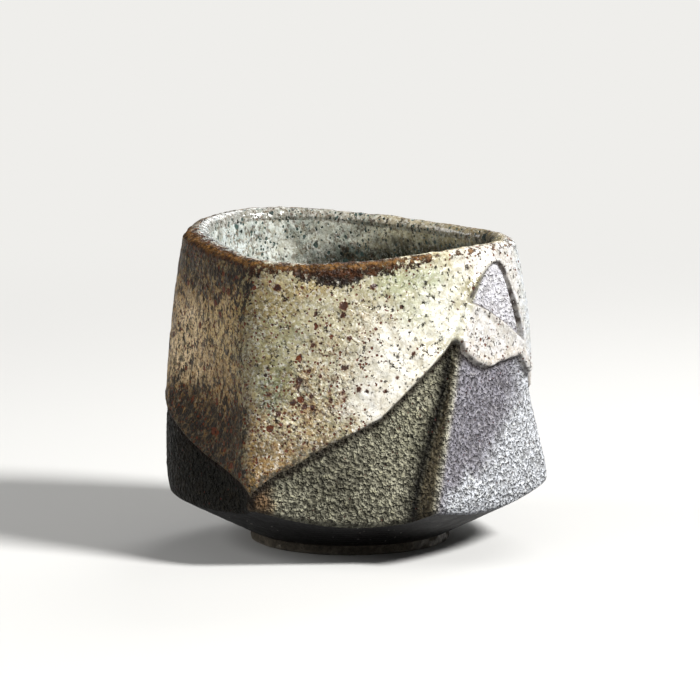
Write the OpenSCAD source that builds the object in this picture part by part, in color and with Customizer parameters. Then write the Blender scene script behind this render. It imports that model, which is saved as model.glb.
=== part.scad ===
/* [Cup] */
// overall width of the cup
cup_w = 70; // [60:1:80]
// overall depth from front to back
cup_d = 66; // [56:1:76]
// height from the table to the highest point of the rim
cup_h = 58; // [56:0.5:66]

/* [Foot] */
// outer diameter of the foot ring
foot_d = 36.6; // [30:0.2:42]
// width of the ring wall seen from below
foot_wall = 3.8; // [2.5:0.1:6]
// height of the foot ring
foot_h = 1.8; // [1.2:0.1:3.5]
// chamfer on the two lower edges of the ring
foot_chamfer = 0.5; // [0.2:0.05:0.8]
// rise of the turned underside from the foot to the wall, in degrees
under_angle = 26.7; // [18:0.1:34]
// how far the wall is turned in where it meets the underside
edge_cut = 0.6; // [0.2:0.05:1.2]
// height of that turned edge
edge_round = 0.9; // [0.4:0.05:1.6]

/* [Wall] */
// wall thickness of the clay at the lip
lip_wall = 2.4; // [1.6:0.1:3.4]
// wall thickness of the clay low in the bowl
low_wall = 3.6; // [2.4:0.1:5]
// height of the rounded top of the lip
lip_round = 1.1; // [0.6:0.1:1.6]
// height of the inner floor above the table
floor_h = 6.2; // [5.2:0.1:9]
// height over which the floor curves up into the wall
bowl_round = 10; // [7:0.5:14]

/* [Glaze] */
// thickness of the glaze coats on the outside
coat = 0.6; // [0.3:0.05:0.9]
// thickness of the rolled bead along the lower edge of a coat
bead = 0.95; // [0.5:0.05:1.3]
// height of the rolled bead
bead_h = 2.4; // [1.5:0.1:3.5]
// thickness of the iron wash over the lip
wash = 0.4; // [0.2:0.05:0.6]
// drop of the wash line below the rim on the outside
wash_drop = 2.6; // [1.8:0.1:4]
// drop of the wash line below the rim on the inside
wash_drop_in = 2.2; // [1.8:0.1:4]
// thickness of the glaze lining
lining = 0.5; // [0.3:0.05:0.8]
// width of the bare patch left in the side pour
window_w = 13.6; // [11:0.2:14.6]
// height of the bare patch left in the side pour
window_h = 14.4; // [11:0.2:15]
// width of the glaze left between the bare patch and the right fold
window_gap = 3; // [2:0.1:4.5]

/* [Hidden] */
half_w = cup_w / 2;
half_d = cup_d / 2;
foot_r = foot_d / 2;
under_slope = tan(under_angle);
// the foot stands a little to the left of the middle
axis_share = -0.037;
axis = [axis_share * half_w, 0];
// the size by which thicknesses are spread around the cup
mean_share = 0.8;
mean_r = mean_share * half_w;
// heights at which the carved corners are given, as shares of the height
level_shares = [0.10, 0.21, 0.36, 0.50, 0.72, 0.98];
// the nine carved corners, counted from the right corner against the clock:
// right, back right, back left, left, left fold, front left, crease, crest, right fold
corner_shares = [
    [[0.97, -0.10], [1.00, -0.09], [0.95, -0.08], [0.90, -0.06], [0.88, -0.05], [0.81, -0.02]],
    [[0.64, 0.76], [0.70, 0.77], [0.70, 0.74], [0.68, 0.70], [0.64, 0.61], [0.55, 0.47]],
    [[-0.26, 0.98], [-0.29, 1.00], [-0.34, 0.99], [-0.40, 0.96], [-0.48, 0.92], [-0.57, 0.85]],
    [[-0.98, 0.10], [-1.01, 0.10], [-1.005, 0.10], [-0.975, 0.10], [-0.945, 0.11], [-0.885, 0.13]],
    [[-0.58, -0.83], [-0.60, -0.84], [-0.86, -0.46], [-0.95, -0.16], [-0.94, -0.05], [-0.88, -0.08]],
    [[-0.52, -0.97], [-0.54, -0.99], [-0.55, -0.94], [-0.55, -0.90], [-0.54, -0.87], [-0.49, -0.83]],
    [[0.28, -0.89], [0.29, -0.90], [0.35, -0.83], [0.42, -0.75], [0.50, -0.57], [0.66, -0.28]],
    [[0.38, -0.95], [0.40, -0.97], [0.44, -0.90], [0.48, -0.81], [0.545, -0.58], [0.74, -0.20]],
    [[0.46, -0.85], [0.61, -0.74], [0.79, -0.44], [0.89, -0.15], [0.88, -0.10], [0.80, -0.07]]];
// swelling of the face that follows each corner, as shares of the half width
bulge_shares = [
    [0.03, 0.03, 0.03, 0.04, 0.05, 0.06],
    [0.03, 0.03, 0.03, 0.04, 0.06, 0.08],
    [0.03, 0.03, 0.03, 0.04, 0.06, 0.08],
    [0.09, 0.12, 0.05, 0.02, 0.01, 0.01],
    [0.00, 0.00, -0.02, -0.03, 0.01, 0.04],
    [-0.03, -0.01, 0.01, 0.04, 0.09, 0.14],
    [0.00, 0.00, 0.00, 0.00, 0.00, 0.00],
    [0.01, 0.01, 0.00, 0.01, 0.02, 0.00],
    [0.01, 0.01, 0.01, 0.00, 0.00, 0.00]];
// length taken by the rounding of each corner, as shares of the half width
round_shares = [
    [0.04, 0.04, 0.05, 0.08, 0.09, 0.06],
    [0.12, 0.12, 0.12, 0.15, 0.18, 0.24],
    [0.12, 0.12, 0.12, 0.15, 0.18, 0.24],
    [0.24, 0.24, 0.20, 0.12, 0.09, 0.09],
    [0.04, 0.04, 0.06, 0.09, 0.09, 0.09],
    [0.04, 0.04, 0.07, 0.09, 0.10, 0.15],
    [0.05, 0.05, 0.05, 0.04, 0.04, 0.04],
    [0.03, 0.03, 0.03, 0.03, 0.04, 0.05],
    [0.06, 0.11, 0.11, 0.06, 0.03, 0.02]];
// rim height by direction around the axis, as shares of the height
rim_shares = [
    [0, 0.957], [40, 0.964], [80, 0.984], [118, 0.998], [150, 0.990], [178, 0.979], [210, 0.958],
    [240, 0.942], [265, 0.935], [294, 0.944], [318, 0.951], [337, 0.956], [360, 0.957]];
// lower edge of the main coat and of the side pour: place around the cup, share of the height
pour_shares = [
    [0.00, 0.535], [0.50, 0.42], [1.00, 0.45], [1.45, 0.34], [2.00, 0.44], [2.50, 0.37],
    [3.00, 0.48], [3.50, 0.43], [4.00, 0.345], [4.50, 0.27], [5.00, 0.22], [5.25, 0.26],
    [5.37, 0.325], [5.52, 0.41], [5.60, 0.455], [5.65, 0.52], [5.70, 0.58], [5.75, 0.64],
    [6.00, 0.67], [7.00, 0.67], [7.25, 0.645], [7.34, 0.61], [7.44, 0.59], [7.60, 0.60],
    [7.69, 0.595], [7.74, 0.555], [7.85, 0.545], [8.00, 0.54], [9.00, 0.535]];
// outline of the bare patch seen square on from its right end, as shares of its width and height
window_shares = [
    [-1.00, 0.07], [-0.82, 0.215], [-0.60, 0.415], [-0.42, 0.50], [-0.33, 0.50], [-0.235, 0.395],
    [-0.11, 0.00], [-0.01, -0.42], [0.00, -0.50], [-0.32, -0.285], [-0.73, -0.055]];
// height of its middle, and how far its cutter reaches each way from the face
window_mid_share = 0.775;
window_reach_share = 0.15;

corners = len(corner_shares);
turn_share = 0.25;
flats = [3, 3, 4, 2, 2, 9, 1, 5, 1];
columns = [for (i = [0:corners - 1])
    each concat([i, i + turn_share / 2],
        [for (k = [0:flats[i]]) i + turn_share + k * (1 - 2 * turn_share) / flats[i]],
        [i + 1 - turn_share / 2])];
crest_index = 7;
main_columns = concat([for (u = columns) if (u < crest_index) u], [crest_index]);
side_columns = concat([for (u = columns) if (u >= crest_index) u], [corners]);

bare_steps = 5;
bead_shares = [0, 0.22, 0.55, 1];
bead_thick_shares = [0.2, 0.8, 1, 0.65];
coat_steps = 7;
lip_steps = 4;
inside_steps = 5;
bowl_steps = 6;

function mix(a, b, t) = a + (b - a) * t;
function clamp(v, a, b) = min(max(v, a), b);
function level_of(s, i = 0) =
    i >= len(level_shares) - 2 || s < level_shares[i + 1] ? i : level_of(s, i + 1);
function slope(tab, i) =
    let (a = max(i - 1, 0), b = min(i + 1, len(tab) - 1))
    (tab[b] - tab[a]) / (level_shares[b] - level_shares[a]);
// smooth reading of a corner table at share s of the height
function along(tab, s) =
    let (c = clamp(s, level_shares[0], level_shares[len(level_shares) - 1]),
         k = level_of(c),
         h = level_shares[k + 1] - level_shares[k],
         t = (c - level_shares[k]) / h)
    (2 * t * t * t - 3 * t * t + 1) * tab[k] + (t * t * t - 2 * t * t + t) * h * slope(tab, k)
    + (3 * t * t - 2 * t * t * t) * tab[k + 1] + (t * t * t - t * t) * h * slope(tab, k + 1);
function corner(i, s) =
    let (p = along(corner_shares[i % corners], s))
    [p.x * half_w, p.y * half_d];
// point at share q of the swollen face between corners a and b
function face_point(a, b, swell, q) =
    let (d = b - a, n = [d.y, -d.x] / norm(d))
    a + d * q + n * swell * 4 * q * (1 - q);
function arc(a, b, c, w) = a * (1 - w) * (1 - w) + b * 2 * w * (1 - w) + c * w * w;
// plan of a ring of corners, with every corner rounded off
function plan(i, t, s, ids, round_min) =
    let (m = len(ids),
         o = ids[(i + m - 1) % m], a = ids[i % m], b = ids[(i + 1) % m], e = ids[(i + 2) % m],
         po = corner(o, s), pa = corner(a, s), pb = corner(b, s), pe = corner(e, s),
         lo = norm(pa - po), la = norm(pb - pa), lb = norm(pe - pb),
         ra = max(along(round_shares[a], s), round_min) * half_w,
         rb = max(along(round_shares[b], s), round_min) * half_w,
         cap = 0.45,
         so = along(bulge_shares[o], s) * half_w,
         sa = along(bulge_shares[a], s) * half_w,
         sb = along(bulge_shares[b], s) * half_w,
         fa = min(ra / la, cap), fb = min(rb / la, cap))
    t < turn_share
        ? arc(face_point(po, pa, so, 1 - min(ra / lo, cap)), pa, face_point(pa, pb, sa, fa),
            0.5 + 0.5 * t / turn_share)
    : t > 1 - turn_share
        ? arc(face_point(pa, pb, sa, 1 - fb), pb, face_point(pb, pe, sb, min(rb / lb, cap)),
            0.5 * (t - 1 + turn_share) / turn_share)
    : face_point(pa, pb, sa, fa + (t - turn_share) / (1 - 2 * turn_share) * (1 - fa - fb));
all_ids = [for (i = [0:corners - 1]) i];
function swell_out(p, out) = axis + (p - axis) * (1 + out / mean_r);
// point of the outside wall at place u and height z, moved out by a thickness
function outside(u, z, out) =
    let (p = swell_out(plan(floor(u) % corners, u - floor(u), z / cup_h, all_ids, 0), out))
    [p.x, p.y, z];
function read(tab, x, i = 0) =
    i >= len(tab) - 2 || x < tab[i + 1].x
        ? mix(tab[i].y, tab[i + 1].y, (x - tab[i].x) / (tab[i + 1].x - tab[i].x))
        : read(tab, x, i + 1);
// the hollow follows only six of the corners, well rounded
hollow_ids = [0, 1, 2, 3, 5, 6];
hollow_round_share = 0.24;
hollow_low_share = 0.42;
function inside(v, z, in) =
    let (s = max(z / cup_h, hollow_low_share),
         w = mix(low_wall, lip_wall, clamp((z - floor_h) / (cup_h - floor_h), 0, 1)),
         n = len(hollow_ids),
         p = swell_out(plan((floor(v) + n) % n, v - floor(v), s, hollow_ids, hollow_round_share),
            -w - in))
    [p.x, p.y, z];
// direction of a point from the axis, counted on from one turn to the next
function direction(p, near) =
    let (f = atan2(p.y - axis.y, p.x - axis.x)) f + 360 * round((near - f) / 360);
// places around the hollow, matched to the outside by direction at the rim
look_share = 0.93;
hollow_steps = 12;
hollow_places = [for (k = [-hollow_steps:7 * hollow_steps])
    let (v = k / hollow_steps) [direction(inside(v, look_share * cup_h, 0), v * 360 / len(hollow_ids)), v]];
function hollow_place(u) =
    read(hollow_places, direction(outside(u, look_share * cup_h, 0), u * 360 / corners));

function under_z(p) = foot_h + (norm([p.x, p.y] - axis) - foot_r) * under_slope;
// height at which the wall meets the turned underside
function edge_z(u, z, n = 8) = n == 0 ? z : edge_z(u, under_z(outside(u, z, 0)), n - 1);
function turn(tab, i) =
    let (n = len(tab) - 1,
         a = i == 0 ? tab[n - 1] - [360, 0] : tab[i - 1],
         b = i == n ? tab[1] + [360, 0] : tab[i + 1])
    (b.y - a.y) / (b.x - a.x);
function around(tab, x, i = 0) =
    i < len(tab) - 2 && x >= tab[i + 1].x ? around(tab, x, i + 1)
    : let (h = tab[i + 1].x - tab[i].x, t = (x - tab[i].x) / h)
        (2 * t * t * t - 3 * t * t + 1) * tab[i].y + (t * t * t - 2 * t * t + t) * h * turn(tab, i)
        + (3 * t * t - 2 * t * t * t) * tab[i + 1].y + (t * t * t - t * t) * h * turn(tab, i + 1);
function rim_z(u) =
    cup_h * around(rim_shares, direction(outside(u, look_share * cup_h, 0), 180)) - lip_round - wash;
function pour_z(u) = read(pour_shares, u) * cup_h;
function out_wash_z(u) = rim_z(u) + lip_round + wash - wash_drop;
function in_wash_z(u) = rim_z(u) + lip_round + wash - wash_drop_in;

// rows of one column, each as a point on the clay and a point on top of the coat
function pour_rows(u) =
    let (a = pour_z(u), b = a + bead_h, c = out_wash_z(u))
    concat(
        [for (k = [0:3])
            let (z = a + bead_h * bead_shares[k], t = bead * bead_thick_shares[k])
            [outside(u, z, 0), outside(u, z, t)]],
        [for (k = [1:coat_steps])
            let (z = mix(b, c, k / coat_steps), t = k == coat_steps ? wash : coat)
            [outside(u, z, 0), outside(u, z, t)]]);
function lip_rows(u) =
    let (v = hollow_place(u), z = rim_z(u), a = outside(u, z, 0), b = inside(v, z, 0),
         m = (a + b) / 2, h = (a - b) / 2, g = wash / norm(h))
    concat(
        [let (w = out_wash_z(u)) [outside(u, w, 0), outside(u, w, wash)]],
        [for (k = [0:lip_steps])
            let (f = 180 * k / lip_steps)
            [m + h * cos(f) + [0, 0, lip_round * sin(f)],
             m + h * (1 + g) * cos(f) + [0, 0, (lip_round + wash) * sin(f)]]],
        [let (w = in_wash_z(u)) [inside(v, w, 0), inside(v, w, wash)]]);
function bowl_point(v, f, in) =
    let (top = floor_h + bowl_round, p = inside(v, top, in),
         z = floor_h + in + (bowl_round - in) * (1 - cos(f)))
    [axis.x + (p.x - axis.x) * sin(f), axis.y + (p.y - axis.y) * sin(f), z];
function bowl_rows(u) =
    let (v = hollow_place(u), a = in_wash_z(u), b = floor_h + bowl_round)
    concat(
        [for (k = [0:inside_steps])
            let (z = mix(a, b, k / inside_steps), t = k == 0 ? wash : lining)
            [inside(v, z, 0), inside(v, z, t)]],
        [for (k = [1:bowl_steps - 1])
            let (f = 90 * (1 - k / bowl_steps))
            [bowl_point(v, f, 0), bowl_point(v, f, lining)]]);
function clay_rows(u) =
    let (e = edge_z(u, foot_h), p = outside(u, e, -edge_cut),
         d = [p.x, p.y] - axis, q = axis + d / norm(d) * foot_r,
         a = e + edge_round, b = pour_z(u))
    concat(
        [[q.x, q.y, foot_h], [p.x, p.y, under_z(p)]],
        [for (k = [0:bare_steps - 1]) outside(u, mix(a, b, k / bare_steps), 0)],
        [for (r = pour_rows(u)) r[0]],
        [for (k = [1:lip_steps + 1]) lip_rows(u)[k][0]],
        [for (r = bowl_rows(u)) r[0]]);

function quad(a, b, c, d) = [[a, b, c], [a, c, d]];
// the coat side and the clay side run opposite ways, so the clay side is split the other way
function side_quad(a, b, c, d, coat_side) = coat_side ? quad(a, b, c, d) : quad(b, c, d, a);
// a closed skin made of columns of points, with both ends drawn to one point
module skin(cols, low, high) {
    n = len(cols);
    m = len(cols[0]);
    points = concat([for (c = cols) each c], [low, high]);
    faces = concat(
        [for (i = [0:n - 1]) for (k = [0:m - 2])
            each quad(i * m + k, i * m + k + 1, ((i + 1) % n) * m + k + 1, ((i + 1) % n) * m + k)],
        [for (i = [0:n - 1]) [n * m, i * m, ((i + 1) % n) * m]],
        [for (i = [0:n - 1]) [n * m + 1, ((i + 1) % n) * m + m - 1, i * m + m - 1]]);
    polyhedron(points, faces, convexity = 8);
}
// a closed loop of points in every column, going round the whole cup
module ring(cols) {
    n = len(cols);
    m = len(cols[0]);
    faces = [for (i = [0:n - 1]) for (k = [0:m - 1])
        each side_quad(i * m + k, i * m + (k + 1) % m, ((i + 1) % n) * m + (k + 1) % m,
            ((i + 1) % n) * m + k, k < m / 2)];
    polyhedron([for (c = cols) each c], faces, convexity = 8);
}
// a closed loop of points in every column, from one end to the other, ends capped in strips
module patch(cols) {
    n = len(cols);
    m = len(cols[0]);
    h = m / 2;
    last = (n - 1) * m;
    faces = concat(
        [for (i = [0:n - 2]) for (k = [0:m - 1])
            each side_quad(i * m + k, i * m + (k + 1) % m, (i + 1) * m + (k + 1) % m,
                (i + 1) * m + k, k < h)],
        [for (k = [0:h - 2]) each quad(k + 1, k, m - 1 - k, m - 2 - k)],
        [for (k = [0:h - 2])
            each quad(last + k + 1, last + m - 2 - k, last + m - 1 - k, last + k)]);
    polyhedron([for (c = cols) each c], faces, convexity = 8);
}
// a bowl-shaped coat: pairs of points from the top down, drawn together on the floor
module lining_skin(cols, low, high) {
    n = len(cols);
    m = len(cols[0]);
    s = 2 * m;
    points = concat([for (c = cols) each concat([for (r = c) r[0]], [for (r = c) r[1]])], [low, high]);
    faces = concat(
        [for (i = [0:n - 1]) for (k = [0:m - 2])
            let (a = i * s + k, b = ((i + 1) % n) * s + k)
            each concat(quad(a, b, b + 1, a + 1), quad(b + m, a + m, a + m + 1, b + m + 1))],
        [for (i = [0:n - 1])
            let (a = i * s, b = ((i + 1) % n) * s)
            each concat(quad(b, a, a + m, b + m),
                [[n * s, a + m - 1, b + m - 1], [n * s + 1, b + s - 1, a + s - 1]])]);
    polyhedron(points, faces, convexity = 8);
}
function loop(rows) =
    concat([for (r = rows) r[1]], [for (k = [len(rows) - 1:-1:0]) rows[k][0]]);

module clay_body() {
    color("#5a5248")
        skin([for (u = columns) clay_rows(u)], [axis.x, axis.y, foot_h], [axis.x, axis.y, floor_h]);
}

module foot_ring() {
    color("#6b6048")
        translate([axis.x, axis.y, 0])
            rotate_extrude($fn = 96)
                polygon([
                    [foot_r - foot_wall + foot_chamfer, 0],
                    [foot_r - foot_chamfer, 0],
                    [foot_r, foot_chamfer],
                    [foot_r, foot_h],
                    [foot_r - foot_wall, foot_h],
                    [foot_r - foot_wall, foot_chamfer]]);
}

module outer_glaze() {
    color("#dcd8c4")
        patch([for (u = main_columns) loop(pour_rows(u))]);
}

module window_cutter() {
    middle = window_mid_share * cup_h;
    crest = outside(crest_index, middle, 0);
    fold = outside(crest_index + 1, middle, 0);
    reach = window_reach_share * half_w;
    translate([fold.x, fold.y, middle])
        rotate([90, 0, atan2(fold.y - crest.y, fold.x - crest.x)])
            translate([-window_gap, 0, -reach])
                linear_extrude(height = 2 * reach)
                    polygon([for (p = window_shares) [p.x * window_w, p.y * window_h]]);
}

module side_glaze() {
    color("#e6e8e6")
        difference() {
            patch([for (u = side_columns) loop(pour_rows(u))]);
            window_cutter();
        }
}

module inner_glaze() {
    color("#cfd8dc")
        lining_skin([for (u = columns) bowl_rows(u)],
            [axis.x, axis.y, floor_h], [axis.x, axis.y, floor_h + lining]);
}

module rim_wash() {
    color("#6a4026")
        ring([for (u = columns) loop(lip_rows(u))]);
}

clay_body();
foot_ring();
outer_glaze();
side_glaze();
inner_glaze();
rim_wash();
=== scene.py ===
import bpy
import numpy as np
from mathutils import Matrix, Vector
from math import radians, tan


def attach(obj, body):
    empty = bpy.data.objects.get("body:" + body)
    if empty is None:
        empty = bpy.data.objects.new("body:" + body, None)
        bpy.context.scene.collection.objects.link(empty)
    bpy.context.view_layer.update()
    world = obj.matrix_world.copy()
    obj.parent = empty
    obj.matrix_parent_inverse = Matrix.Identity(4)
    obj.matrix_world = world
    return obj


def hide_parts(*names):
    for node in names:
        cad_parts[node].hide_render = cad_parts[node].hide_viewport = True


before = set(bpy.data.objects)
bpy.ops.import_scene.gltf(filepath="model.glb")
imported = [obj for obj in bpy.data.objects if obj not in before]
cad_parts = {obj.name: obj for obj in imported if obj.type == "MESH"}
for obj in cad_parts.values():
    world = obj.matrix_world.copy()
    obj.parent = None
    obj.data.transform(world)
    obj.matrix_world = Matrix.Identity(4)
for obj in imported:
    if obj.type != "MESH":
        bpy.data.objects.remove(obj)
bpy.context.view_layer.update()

# ---- sizes, millimetres
CUP_W, CUP_D, CUP_H = 70.0, 66.0, 58.0
FOOT_R, FOOT_WALL, FOOT_H, FOOT_CHAMFER = 18.3, 3.8, 1.8, 0.5
UNDER_SLOPE = tan(radians(26.7))
EDGE_TURN, EDGE_ROUND = 0.6, 0.9
LIP_WALL, LOW_WALL, LIP_ROUND = 2.4, 3.6, 1.1
FLOOR_H, BOWL_ROUND = 6.2, 10.0
WASH, LINING = 0.4, 0.5
HIDDEN = 1.3  # how far the clay wall carries on under the glaze
WASH_DROP, WASH_DROP_IN = 2.6, 2.2
HALF = np.array([CUP_W / 2, CUP_D / 2])
AXIS = np.array([-0.037 * HALF[0], 0.0])
MEAN_R = 0.8 * HALF[0]
COLUMNS = 640  # points round the body and the lip

# places round the cup: whole numbers are the carved corners, and 9 is the right one again
RIGHT, BACK_RIGHT, BACK_LEFT, LEFT, LEFT_FOLD, FRONT_LEFT, CREASE, CREST, RIGHT_FOLD = range(9)
FRONT, FRONT_END = 4.5, 7.1

# the carved corners of the cup in that order, in hundredths of the half width and depth at
# six heights, how far the face after each one swells, and how round each one is
LEVELS = np.array([0.10, 0.21, 0.36, 0.50, 0.72, 0.98])
CORNERS = HALF / 100 * np.array([
    [[97, -10], [100, -9], [95, -8], [90, -6], [88, -5], [81, -2]],
    [[64, 76], [70, 77], [70, 74], [68, 70], [64, 61], [55, 47]],
    [[-26, 98], [-29, 100], [-34, 99], [-40, 96], [-48, 92], [-57, 85]],
    [[-98, 10], [-101, 10], [-100.5, 10], [-97.5, 10], [-94.5, 11], [-88.5, 13]],
    [[-58, -83], [-60, -84], [-86, -46], [-95, -16], [-94, -5], [-88, -8]],
    [[-52, -97], [-54, -99], [-55, -94], [-55, -90], [-54, -87], [-49, -83]],
    [[28, -89], [29, -90], [35, -83], [42, -75], [50, -57], [66, -28]],
    [[38, -95], [40, -97], [44, -90], [48, -81], [54.5, -58], [74, -20]],
    [[46, -85], [61, -74], [79, -44], [89, -15], [88, -10], [80, -7]]])
BULGES = HALF[0] / 100 * np.array([
    [3, 3, 3, 4, 5, 6],
    [3, 3, 3, 4, 6, 8],
    [3, 3, 3, 4, 6, 8],
    [9, 12, 5, 2, 1, 1],
    [0, 0, -2, -3, 1, 4],
    [-3, -1, 1, 4, 9, 14],
    [0, 0, 0, 0, 0, 0],
    [1, 1, 0, 1, 2, 0],
    [1, 1, 1, 0, 0, 0]])
ROUNDS = HALF[0] / 100 * np.array([
    [4, 4, 5, 8, 9, 6],
    [12, 12, 12, 15, 18, 24],
    [12, 12, 12, 15, 18, 24],
    [24, 24, 20, 12, 9, 9],
    [4, 4, 6, 9, 9, 9],
    [4, 4, 7, 9, 10, 15],
    [5, 5, 5, 4, 4, 4],
    [3, 3, 3, 3, 4, 5],
    [6, 11, 11, 6, 3, 2]])
# rim height by direction, and the pour line by place around the cup, as shares of the height
RIM = np.array([
    [0, 0.957], [40, 0.964], [80, 0.984], [118, 0.998], [150, 0.990], [178, 0.979], [210, 0.958],
    [240, 0.942], [265, 0.935], [294, 0.944], [318, 0.951], [337, 0.956], [360, 0.957]])
POUR = np.array([
    [0.00, 0.535], [0.50, 0.42], [1.00, 0.45], [1.45, 0.34], [2.00, 0.44], [2.50, 0.37],
    [3.00, 0.48], [3.50, 0.43], [4.00, 0.345], [4.50, 0.27], [5.00, 0.22], [5.25, 0.26],
    [5.37, 0.325], [5.52, 0.41], [5.60, 0.455], [5.65, 0.52], [5.70, 0.58], [5.75, 0.64],
    [6.00, 0.67], [7.00, 0.67], [7.25, 0.645], [7.34, 0.61], [7.44, 0.59], [7.60, 0.60],
    [7.69, 0.595], [7.74, 0.555], [7.85, 0.545], [8.00, 0.54], [9.00, 0.535]])
# the bare patch in the side pour: millimetres along the face from the right fold, and height
PATCH = np.array([
    [-16.6, 46.0], [-14.2, 48.1], [-11.2, 51.0], [-8.7, 52.2], [-7.5, 52.2], [-6.2, 50.7],
    [-4.5, 45.1], [-3.1, 38.9], [-3.0, 37.8], [-7.4, 40.9], [-12.9, 44.2]])


# ---- the carved form
def bend(t, h, p0, s0, p1, s1):
    """The curve at share t of a step h long, from p0 with slope s0 to p1 with slope s1."""
    return ((2 * t**3 - 3 * t**2 + 1) * p0 + (t**3 - 2 * t**2 + t) * h * s0
            + (3 * t**2 - 2 * t**3) * p1 + (t**3 - t**2) * h * s1)


def along(table, corner, share):
    """Smooth reading of a corner table at a share of the height."""
    share = np.clip(share, LEVELS[0], LEVELS[-1])
    k = np.clip(np.searchsorted(LEVELS, share, side="right") - 1, 0, len(LEVELS) - 2)
    before, after = np.maximum(k - 1, 0), np.minimum(k + 2, len(LEVELS) - 1)
    h = LEVELS[k + 1] - LEVELS[k]
    t = (share - LEVELS[k]) / h
    m0, m1 = 1 / (LEVELS[k + 1] - LEVELS[before]), 1 / (LEVELS[after] - LEVELS[k])
    if table.ndim == 3:
        h, t, m0, m1 = (v[..., None] for v in (h, t, m0, m1))
    p0, p1 = table[corner, k], table[corner, k + 1]
    return bend(t, h, p0, (p1 - table[corner, before]) * m0,
                p1, (table[corner, after] - p0) * m1)


def on_face(a, b, swell, q):
    d = b - a
    n = np.stack([d[..., 1], -d[..., 0]], -1) / np.linalg.norm(d, axis=-1, keepdims=True)
    q = q[..., None]
    return a + d * q + n * swell[..., None] * 4 * q * (1 - q)


def arc(a, b, c, w):
    w = w[..., None]
    return a * (1 - w) ** 2 + b * 2 * w * (1 - w) + c * w * w


def plan(place, share, ids, least=0.0):
    """Plan of a ring of corners at a share of the height, every corner rounded off."""
    place, share = np.broadcast_arrays(np.asarray(place, float), np.asarray(share, float))
    ids, m, cap, turn = np.array(ids), len(ids), 0.45, 0.25
    f = np.floor(place).astype(int)
    t = place - f
    o, a, b, e = (ids[(f + k) % m] for k in (-1, 0, 1, 2))
    po, pa, pb, pe = (along(CORNERS, j, share) for j in (o, a, b, e))
    lo, la, lb = (np.linalg.norm(x - y, axis=-1) for x, y in ((pa, po), (pb, pa), (pe, pb)))
    ra, rb = (np.maximum(along(ROUNDS, j, share), least) for j in (a, b))
    so, sa, sb = (along(BULGES, j, share) for j in (o, a, b))
    fa, fb = np.minimum(ra / la, cap), np.minimum(rb / la, cap)
    first = arc(on_face(po, pa, so, 1 - np.minimum(ra / lo, cap)), pa, on_face(pa, pb, sa, fa),
                0.5 + 0.5 * t / turn)
    last = arc(on_face(pa, pb, sa, 1 - fb), pb, on_face(pb, pe, sb, np.minimum(rb / lb, cap)),
               0.5 * (t - 1 + turn) / turn)
    flat = on_face(pa, pb, sa, fa + (t - turn) / (1 - 2 * turn) * (1 - fa - fb))
    t = t[..., None]
    return np.where(t < turn, first, np.where(t > 1 - turn, last, flat))


def raised(xy, z, out):
    xy = AXIS + (xy - AXIS) * (1 + np.asarray(out)[..., None] / MEAN_R)
    return np.concatenate([xy, np.broadcast_to(z, xy.shape[:-1])[..., None]], -1)


def outside(u, z, out=0.0):
    u, z, out = np.broadcast_arrays(u, z, out)
    return raised(plan(u, z / CUP_H, range(9)), z, out)


def inside(v, z, out=0.0):
    v, z, out = np.broadcast_arrays(v, z, out)
    wall = LOW_WALL + (LIP_WALL - LOW_WALL) * np.clip((z - FLOOR_H) / (CUP_H - FLOOR_H), 0, 1)
    return raised(plan(v, np.maximum(z / CUP_H, 0.42), (0, 1, 2, 3, 5, 6), 0.24 * HALF[0]), z,
                  -wall - out)


def direction(p, edge_burn_and_shadow):
    f = np.degrees(np.arctan2(p[..., 1] - AXIS[1], p[..., 0] - AXIS[0]))
    return f + 360 * np.round((edge_burn_and_shadow - f) / 360)


LOOK = 0.93 * CUP_H
TURNS = np.arange(-1, 7.001, 1 / 48)
TURN_AT = direction(inside(TURNS, np.full(TURNS.shape, LOOK)), TURNS * 60)


def hollow_place(u):
    return np.interp(direction(outside(u, np.full(u.shape, LOOK)), u * 40), TURN_AT, TURNS)


def rim_z(u):
    x = direction(outside(u, np.full(u.shape, LOOK)), 180)
    at, share = RIM[:, 0], RIM[:, 1]
    n = len(RIM) - 1
    wide_at = np.concatenate([[at[n - 1] - 360], at, [at[1] + 360]])
    wide = np.concatenate([[share[n - 1]], share, [share[1]]])
    m = (wide[2:] - wide[:-2]) / (wide_at[2:] - wide_at[:-2])
    i = np.clip(np.searchsorted(at, x, side="right") - 1, 0, n - 1)
    h = at[i + 1] - at[i]
    return CUP_H * bend((x - at[i]) / h, h, share[i], m[i], share[i + 1], m[i + 1])


def under_z(p):
    return FOOT_H + (np.hypot(p[..., 0] - AXIS[0], p[..., 1] - AXIS[1]) - FOOT_R) * UNDER_SLOPE


def edge_z(u):
    z = np.full(u.shape, FOOT_H)
    for _ in range(8):
        z = under_z(outside(u, z))
    return z


# ---- noise, the same on every run
def smooth_noise(p, size, seed):
    """Noise from -1 to 1 with features of about that size in millimetres."""
    table = np.random.RandomState(seed).uniform(-1, 1, (32, 32, 32))
    p = np.asarray(p, float) / size
    i = np.floor(p).astype(int)
    f = p - i
    f = f * f * f * (f * (f * 6 - 15) + 10)
    total = 0
    for step in np.ndindex(2, 2, 2):
        w = np.prod(np.where(step, f, 1 - f), axis=-1)
        total = total + w * table[tuple(np.moveaxis((i + step) % 32, -1, 0))]
    return total


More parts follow.
